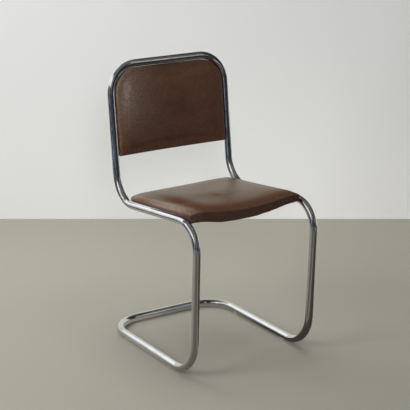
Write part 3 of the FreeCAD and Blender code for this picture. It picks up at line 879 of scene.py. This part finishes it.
def paint_seat(cushion, x, y, upward):
    """Where the seat is worn or dull, and where it gets a painted highlight and painted reflection."""
    top = smoothstep(0.2, 0.8, upward)
    from_side = PAD_HALF_WIDTH - np.abs(x)
    rubbed = 0.8 * spot(x, y, -0.165, 0.020, 0.018, 0.040) + 0.5 * spot(x, y, 0.130, 0.075, 0.040, 0.035)
    wear = rubbed * smoothstep(-0.4, 0.4, upward) + 0.35 * smoothstep(0.016, 0.004, from_side) * top
    trough = spot(x, y, -0.128, 0.150, 0.045, 0.105) * smoothstep(-0.176, -0.152, x)
    trough += 0.45 * spot(x, y, 0.000, 0.150, 0.022, 0.030)
    # A painted highlight along the left edge, and a painted reflection on the front face and a rear right
    # patch.
    left_edge = smoothstep(-0.142, -0.172, x) * smoothstep(-0.4, 0.6, upward) * smoothstep(0.27, 0.12, y)
    low_front = smoothstep(0.008, 0.0, y) * smoothstep(0.6, 0.2, upward)
    patch = spot(x, y, 0.095, 0.215, 0.050, 0.110) * top
    paint(cushion, "wear", wear)
    paint(cushion, "matt", 1 - smoothstep(0.005, 0.125, y) + trough - 0.5 * smoothstep(0.010, 0.0, y))
    paint(cushion, "painted_sheen", 0.58 * left_edge + 0.10 * low_front + 0.16 * patch)


print("hollows:", len(HOLLOWS))

# %% Seat cushion
seat = cover_skin("seat_cushion", ("seat_foam", "seat_board"), seat_held, seat_cap)
shape_seat(seat)
seat.data.materials.append(leatherette)
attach(seat, "root")
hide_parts("seat_cover", "seat_foam")
report(seat)

# %% [markdown]
# ## The back cushion
# The back is the same build, but curved round the sitter and set inside the top of the loop. Its own
# coordinates are x across, y square to the uprights and z up along them from the bottom edge. The cover is
# gathered round the tube at the sides, so small puckers run in from the edge, with painted shade in them.
# The upper left has a painted highlight, and a wider painted reflection round it.

# %% Back frame
BACK_HEIGHT, BACK_HOLLOW = 0.252, 0.010
BACK_BELOW_TOP, BACK_SWELL = 0.012, 0.0030
upright_up = (UPRIGHT_TOP - RAIL_BACK).normalized()
back_origin = UPRIGHT_TOP - upright_up * (BACK_BELOW_TOP + BACK_HEIGHT)
back_frame = pad_frame(Vector((0, upright_up.z, -upright_up.y)), back_origin)


def behind_board(points):
    """How far a point lies behind the curved middle of the back board."""
    x, y, _ = into_frame(back_frame, points)
    return y - BACK_HOLLOW * (1 - (x / PAD_HALF_WIDTH) ** 2)


def back_held(points):
    return behind_board(points) > -0.006


def back_cap(points):
    x, _, z = into_frame(back_frame, points)
    from_edge = np.minimum(PAD_HALF_WIDTH - np.abs(x), np.minimum(z, BACK_HEIGHT - z))
    return swell_limit(from_edge, BACK_SWELL)


print("back origin in mm:", [round(1000 * value, 1) for value in back_origin])

# %% Back cushion
PUCKER_HEIGHTS, PUCKER_DEPTH, SIDE_ROLL = (0.020, 0.061, 0.102, 0.143, 0.184), 0.0009, 0.0025


def shape_back(cushion):
    """Puckers along the sides of the back with painted shade, where it is worn, and its painted highlight.
    """
    points = points_of(cushion)
    x, y, z = into_frame(back_frame, points)
    behind = behind_board(points)
    front = smoothstep(-0.006, -0.012, behind)
    move = squared(PAD_HALF_WIDTH - np.abs(x), z) * smoothstep(-0.018, -0.012, behind)
    x, z = x + move * np.sign(x), z - move
    from_side = PAD_HALF_WIDTH - np.abs(x)
    puckers = np.zeros(len(x))
    for height in PUCKER_HEIGHTS:
        puckers += ridge(z - height - 0.25 * from_side, 0.0030) * smoothstep(0.034, 0.004, from_side)
    rolled = smoothstep(0.050, 0.0, from_side) ** 1.5
    y = y + (PUCKER_DEPTH * puckers + SIDE_ROLL * rolled) * front
    wear = 0.45 * smoothstep(0.016, 0.004, from_side) + 0.3 * smoothstep(0.014, 0.002, z)
    wear = wear * front + smoothstep(-0.164, -0.178, x) * smoothstep(0.010, 0.060, z)
    # A painted reflection that grows towards the upper left, with a painted highlight in it.
    painted_sheen = 0.36 * smoothstep(0.0, -0.155, x) * smoothstep(0.0, 0.150, z)
    painted_sheen += 0.9 * spot(x, z, -0.147, 0.190, 0.009, 0.018)
    painted_sheen += 0.3 * spot(x, z, -0.150, 0.170, 0.024, 0.060)
    set_in_frame(cushion, back_frame, x, y, z)
    paint(cushion, "wear", wear)
    # Painted shade in the puckers.
    paint(cushion, "painted_shade", 0.3 * puckers * front)
    paint(cushion, "painted_sheen", painted_sheen * front)


back = cover_skin("back_cushion", ("back_foam", "back_board"), back_held, back_cap)
shape_back(back)
back.data.materials.append(leatherette)
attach(back, "root")
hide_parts("back_cover", "back_foam")
report(back)

# %% [markdown]
# ## The skin behind the back and the cloth under the seat
# Two thin sheets close the chair's hidden sides. Each starts as a flat grid that is laid over the shape
# behind it. The skin behind the back turns forward round its panel, so its rim is extruded and rounded. The
# dust cloth is stapled all round and hangs a little between the staples.

# %% Helpers for sheets
def grid_piece(name, across, along):
    """A flat grid from -1 to 1, to be laid over a shape."""
    bpy.ops.mesh.primitive_grid_add(x_subdivisions=across, y_subdivisions=along, size=2)
    return new_piece(name)


def flat_area(piece):
    return sum(face.area for face in piece.data.polygons)


def thicken(piece, thickness, side):
    """Gives a sheet its thickness, towards one side."""
    apply(piece, "SOLIDIFY", thickness=thickness, offset=side)
    outward(piece)
    bpy.ops.object.shade_smooth_by_angle(angle=math.radians(40))


print("sheet helpers ready")

# %% Rear skin of the back
ARC_RADIUS = (PAD_HALF_WIDTH ** 2 + BACK_HOLLOW ** 2) / (2 * BACK_HOLLOW)
REAR_FACE, RIM_DEPTH, REAR_INSET, TOP_CORNER = 0.006, 0.004, 0.004, 0.069
SKIN_THICKNESS, SKIN_HOLLOW = 0.0009, 0.0005


def rear_skin():
    """The skin over the rear panel, and its area before it is thickened."""
    skin = grid_piece("back_rear_skin", 72, 48)
    across, up, _ = points_of(skin).T
    half_width, height = PAD_HALF_WIDTH - REAR_INSET, BACK_HEIGHT - 2 * REAR_INSET
    z = REAR_INSET + height * (up + 1) / 2
    into_corner = np.maximum(z - (BACK_HEIGHT - REAR_INSET - TOP_CORNER), 0)
    x = across * (half_width - TOP_CORNER + np.sqrt(TOP_CORNER ** 2 - into_corner ** 2 + 1e-12))
    y = BACK_HOLLOW - ARC_RADIUS + np.sqrt((ARC_RADIUS + REAR_FACE) ** 2 - x ** 2)
    y = y - SKIN_HOLLOW * spot(x, z, 0.0, 0.120, 0.100, 0.060)
    set_in_frame(skin, back_frame, x, y, z)
    only(skin)
    edit()
    bpy.ops.mesh.select_mode(type="EDGE")
    bpy.ops.mesh.select_all(action="SELECT")
    bpy.ops.mesh.region_to_loop()
    forward = Vector((0, -upright_up.z, upright_up.y)) * RIM_DEPTH
    bpy.ops.mesh.extrude_region_move(TRANSFORM_OT_translate={"value": forward})
    bpy.ops.mesh.select_all(action="DESELECT")
    bpy.ops.mesh.edges_select_sharp(sharpness=math.radians(60))
    bpy.ops.mesh.bevel(offset=0.0012, segments=3)
    leave_edit()
    area = flat_area(skin)
    thicken(skin, SKIN_THICKNESS, 1.0)
    return skin, area


skin, skin_area = rear_skin()
paint(skin, "matt", np.full(len(skin.data.vertices), 0.3))
skin.data.materials.append(leatherette)
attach(skin, "root")
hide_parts("back_rear_cover")
report(skin)

# %% Dust cloth under the seat
CLOTH_INSET, CLOTH_FACE, STAPLE_PITCH = 0.038, -0.003, 0.048
CLOTH_THICKNESS, CLOTH_SAG, STAPLE_WAVES = 0.0006, 0.0009, 0.00015


def dust_cloth():
    """The cloth under the seat, and its area before it is thickened."""
    cloth = grid_piece("seat_dust_sheet", 80, 80)
    across, along, _ = points_of(cloth).T
    x = across * (PAD_HALF_WIDTH - CLOTH_INSET)
    y = SEAT_LENGTH / 2 + along * (SEAT_LENGTH / 2 - CLOTH_INSET)
    from_edge = np.minimum(1 - np.abs(across), 1 - np.abs(along))
    slack = CLOTH_SAG * smoothstep(0.06, 0.5, from_edge)
    waves = np.cos(2 * np.pi * x / STAPLE_PITCH) + np.cos(2 * np.pi * y / STAPLE_PITCH)
    slack += STAPLE_WAVES * (2 + waves) * smoothstep(0.02, 0.1, from_edge) * smoothstep(0.5, 0.1, from_edge)
    z = board_dish(x) + CLOTH_FACE - slack
    set_in_frame(cloth, seat_frame, x, y, z)
    area = flat_area(cloth)
    thicken(cloth, CLOTH_THICKNESS, -1.0)
    return cloth, area


cloth, cloth_area = dust_cloth()
cloth.data.materials.append(finishes["dust_cloth"])
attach(cloth, "root")
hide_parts("seat_dust_cloth")
report(cloth)

# %% [markdown]
# ## Weld beads
# Each lug is welded to the tube along both of its faces. The CAD's lug already touches the tube, so its own
# points on the tube say where the two beads run. A bead is a ring that is extruded in short steps, swelling
# and shrinking as a weld's ripples do.

# %% Beads where the lugs meet the tube
BEAD_RADIUS, BEAD_POINTS, CONTACT_GAP = 0.0016, 10, 0.0004
BEAD_END, RIPPLES, RIPPLE_SIZES = 0.6, 12, (1.0, 0.86)


def contact_lines(lug, line, ahead):
    """The two lines along which a lug's faces meet the tube."""
    points = points_of(nodes[lug])
    mirrored = np.abs(points[:, :1]) * (-1, 0, 0) + points * (0, 1, 1)
    distance = np.array([((line - point) ** 2).sum(1) for point in mirrored])
    nearest = distance.argmin(1)
    touching = np.sqrt(distance.min(1)) < TUBE_RADIUS + CONTACT_GAP
    points, direction = points[touching], ahead[nearest[touching]].mean(0)
    along = points @ direction
    middle = points.mean(0)
    square = np.cross(direction, (1, 0, 0))
    side = (points - middle) @ square
    for half in (side < 0, side > 0):
        edge = points[half]
        centre = edge.mean(0)
        reach = (along.max() - along.min()) / 2 - BEAD_RADIUS
        yield Vector(centre - direction * reach), Vector(centre + direction * reach)


def weld_bead(start, end):
    """A ring that is extruded from start to end in ripples."""
    run = end - start
    turn = run.to_track_quat("Z", "Y").to_euler()
    bead = ring("weld_bead", BEAD_END * BEAD_RADIUS, BEAD_POINTS, start, turn, "NGON")
    ripples = [RIPPLE_SIZES[step % 2] for step in range(1, RIPPLES)]
    sizes = [BEAD_END, *ripples, BEAD_END]
    for step in range(1, RIPPLES + 1):
        growth = sizes[step] / sizes[step - 1]
        bpy.ops.mesh.extrude_region_move(TRANSFORM_OT_translate={"value": run / RIPPLES})
        bpy.ops.transform.resize(value=(growth,) * 3, center_override=start + run * step / RIPPLES)
    leave_edit()
    outward(bead)
    return bead


line, ahead = centre_line()
lugs = [name for name in nodes if "_lug_" in name]
beads = [weld_bead(*ends) for lug in lugs for ends in contact_lines(lug, line, ahead)]
welds = join(beads, "weld_beads")
bpy.ops.object.shade_smooth()
welds.data.materials.append(chrome)
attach(welds, "root")
report(welds)

# %% [markdown]
# ## The studio
# The chair stands on a plain pale floor in front of a plain wall. The wall is one-sided: from behind it
# can't be seen, so the rear views aren't blocked. Four soft lamps light it: a large one on the left, a wide
# one overhead, one behind and a small one near the camera. The chrome doesn't see the lamps. Rays from
# shiny surfaces meet a floor and a wall that glow with a painted reflection of their own, a few bright
# windows and dark stretches, and a dim room with bright strips. That draws the tube's streaks without
# lighting the floor. Only the camera sees the room as pale as the wall.

# %% What shiny surfaces see of the floor and the wall
FLOOR_SIZE, WALL_DISTANCE, WALL_SIZE = 24, 4.974, (14, 4)


def floor_mirrored(coat):
    """The floor's painted reflection, a glow only shiny surfaces see: warm near the legs, dark and streaked
    further off.
    """
    turned = coat.place(turn=(0, 0, yaw))
    right, behind = coat.part(turned, "X"), coat.part(turned, "Y")
    distance = (right * right + behind * behind) ** 0.5
    side = right / distance
    angle = right.angle_with(0 - behind)
    strips = (angle * 10 + math.pi).cosine().above(0.70, 0.98)
    near = coat.blend(side.above(-0.97, -0.15), (0.38, 0.36, 0.30), (0.155, 0.142, 0.112))
    near = coat.blend(side.above(0.35, 0.97), near, (0.065, 0.058, 0.046))
    band = side.above(0.28, 0.46) - side.above(0.48, 0.66)
    near = coat.blend(band * (0 - behind).above(0, 0.1) * 0.8, near, (0.34, 0.32, 0.27))
    near = coat.blend(behind.above(0.1, 0.5), near, (0.42, 0.40, 0.34))
    far = coat.blend(strips, (0.022, 0.022, 0.026), (0.62, 0.66, 0.84))
    return coat.blend(distance.above(1.15, 1.75), near, far)


def wall_place(coat):
    """Where a point lies on the wall: metres right of its middle, and metres above the floor."""
    where = coat.place()
    wide, high = WALL_SIZE
    return coat.part(where, "X") * wide, (coat.part(where, "Y") + 0.5) * high


def wall_mirrored(coat):
    """The wall's painted reflection, a glow only shiny surfaces see: pale low down, dark higher up, a
    window on the left.
    """
    across, height = wall_place(coat)
    lower = coat.blend(across.above(-1.5, 1.0), (0.84, 0.86, 0.75), (0.78, 0.79, 0.68))
    dark = height.above(0.85, 1.25) * across.above(-0.45, 0.0)
    shade = coat.blend(dark, lower, (0.06, 0.06, 0.062))
    window = height.above(0.95, 1.15) * (1 - across.above(-0.55, -0.25))
    shade = coat.blend(window, shade, (1.40, 1.43, 1.52))
    lintel = height.above(1.4, 1.8) * (1 - (0 - across).above(0.7, 1.9))
    return coat.blend(lintel, shade, (0.05, 0.052, 0.06))


print("wall in metres:", WALL_SIZE)


# %% Floor and wall
def floor_paint(coat):
    """A warm grey with painted shade: darker towards the camera and a little paler towards the wall."""
    behind = coat.part(coat.place(turn=(0, 0, yaw)), "Y")
    return coat.blend(behind.above(-0.7, 1.0), (0.262, 0.250, 0.208), (0.325, 0.312, 0.262))


def wall_paint(coat):
    """Near white and darker higher up, which evens out the lamps' light."""
    across, height = wall_place(coat)
    low = coat.blend(across.above(-0.8, 0.8), (0.85, 0.86, 0.86), (1.04, 1.04, 1.04))
    return coat.blend(height.above(-0.2, 1.0), low, (0.73, 0.74, 0.74))


def stage_finish(name, paint_of, mirrored, one_sided):
    """Plain paint, which glows with a painted reflection for the rays that come from the chair's shiny
    surfaces.
    """
    coat = finish(name)
    grain = coat.noise(coat.place(), 3.0, 3.0)
    shade = coat.blend(grain * 0.06, paint_of(coat), (0.2, 0.2, 0.2))
    paint_shader = coat.principled(Base_Color=shade, Roughness=0.75)
    glow = coat.add("ShaderNodeEmission", None, {"Color": mirrored(coat)})
    shader = coat.mix_shader(coat.ray("Glossy"), paint_shader, glow)
    if one_sided:
        behind = coat.add("ShaderNodeNewGeometry", output="Backfacing")
        shader = coat.mix_shader(behind, shader, coat.add("ShaderNodeBsdfTransparent"))
    return coat.output(shader)


view_direction = Vector((math.sin(yaw), math.cos(yaw), 0))
bpy.ops.mesh.primitive_plane_add(size=FLOOR_SIZE, location=(0, 0, 0))
floor = new_piece("floor")
floor.data.materials.append(stage_finish("floor_paint", floor_paint, floor_mirrored, False))
wall_foot = Vector((*CAMERA_PLACE[:2], 0)) + view_direction * WALL_DISTANCE
wall_middle = wall_foot + Vector((0, 0, WALL_SIZE[1] / 2))
bpy.ops.mesh.primitive_plane_add(size=1, location=wall_middle, rotation=(math.pi / 2, 0, -yaw))
wall = new_piece("wall")
wall.scale = (*WALL_SIZE, 1)
wall.data.materials.append(stage_finish("wall_paint", wall_paint, wall_mirrored, True))

print("floor and wall placed")


# %% Lamps
def soft_lamp(name, place, target, size, power):
    """A rectangular lamp that shines from one place at another and isn't mirrored in the chrome."""
    data = bpy.data.lights.new(name, "AREA")
    data.shape, data.size, data.size_y, data.energy = "RECTANGLE", *size, power
    lamp = bpy.data.objects.new(name, data)
    lamp.location = place
    lamp.rotation_euler = (Vector(target) - Vector(place)).to_track_quat("-Z", "Y").to_euler()
    lamp.visible_glossy = False
    bpy.context.scene.collection.objects.link(lamp)


soft_lamp("left_lamp", (-2.3, -0.3, 1.6), (0, -0.2, 0.5), (1.0, 1.4), 50)
soft_lamp("rear_lamp", (-0.80, 1.45, 1.75), (-0.18, -0.05, 0.47), (1.0, 0.6), 14)
soft_lamp("ceiling_lamp", (0.3, 0.6, 2.9), (0.35, 0.6, 0.3), (3.4, 1.3), 54)
soft_lamp("front_lamp", (-1.9, -3.2, 1.9), (0, 0.1, 0.6), (0.5, 0.6), 36)

print("lamps:", len(bpy.data.lights))


# %% Light of the room
def room_light():
    """Dim, with bright strips and, for reflections only, a window on the left. The camera sees it pale."""
    world = bpy.data.worlds.new("room")
    bpy.context.scene.world = world
    room = Finish(world)
    direction = room.add("ShaderNodeTexCoord", output="Generated")
    across, height = room.part(direction, "X"), room.part(direction, "Z")
    angle = across.angle_with(room.part(direction, "Y"))
    unrest = room.noise(room.stretch(direction, (9, 9, 1.5)), 1.0, 2.0)
    strips = (angle * 7 + 2 * unrest).cosine().above(0.75, 0.95)
    glow = 0.03 + 0.16 * height.above(0.55, 0.95) + 0.08 * (0 - across).above(0.3, 0.9)
    glow = glow + 0.6 * strips * height.above(-0.1, 0.2) * (1 - height.above(0.7, 0.9))
    left_window = (0 - across).above(0.55, 0.70) * height.above(0.25, 0.40) * (1 - height.above(0.70, 0.80))
    glow = glow + left_window * room.ray("Glossy")
    tint = room.blend(height.above(-0.3, 0.5), (0.80, 0.88, 1.0), (1.0, 0.98, 0.95))
    dim = room.add("ShaderNodeBackground", None, {"Color": tint, "Strength": glow})
    pale = room.add("ShaderNodeBackground", None, {"Color": (0.66, 0.66, 0.65, 1)})
    room.add("ShaderNodeOutputWorld", None, {"Surface": room.mix_shader(room.ray("Camera"), dim, pale)})


room_light()
bpy.context.scene.view_settings.view_transform = "Standard"
print("room light ready")
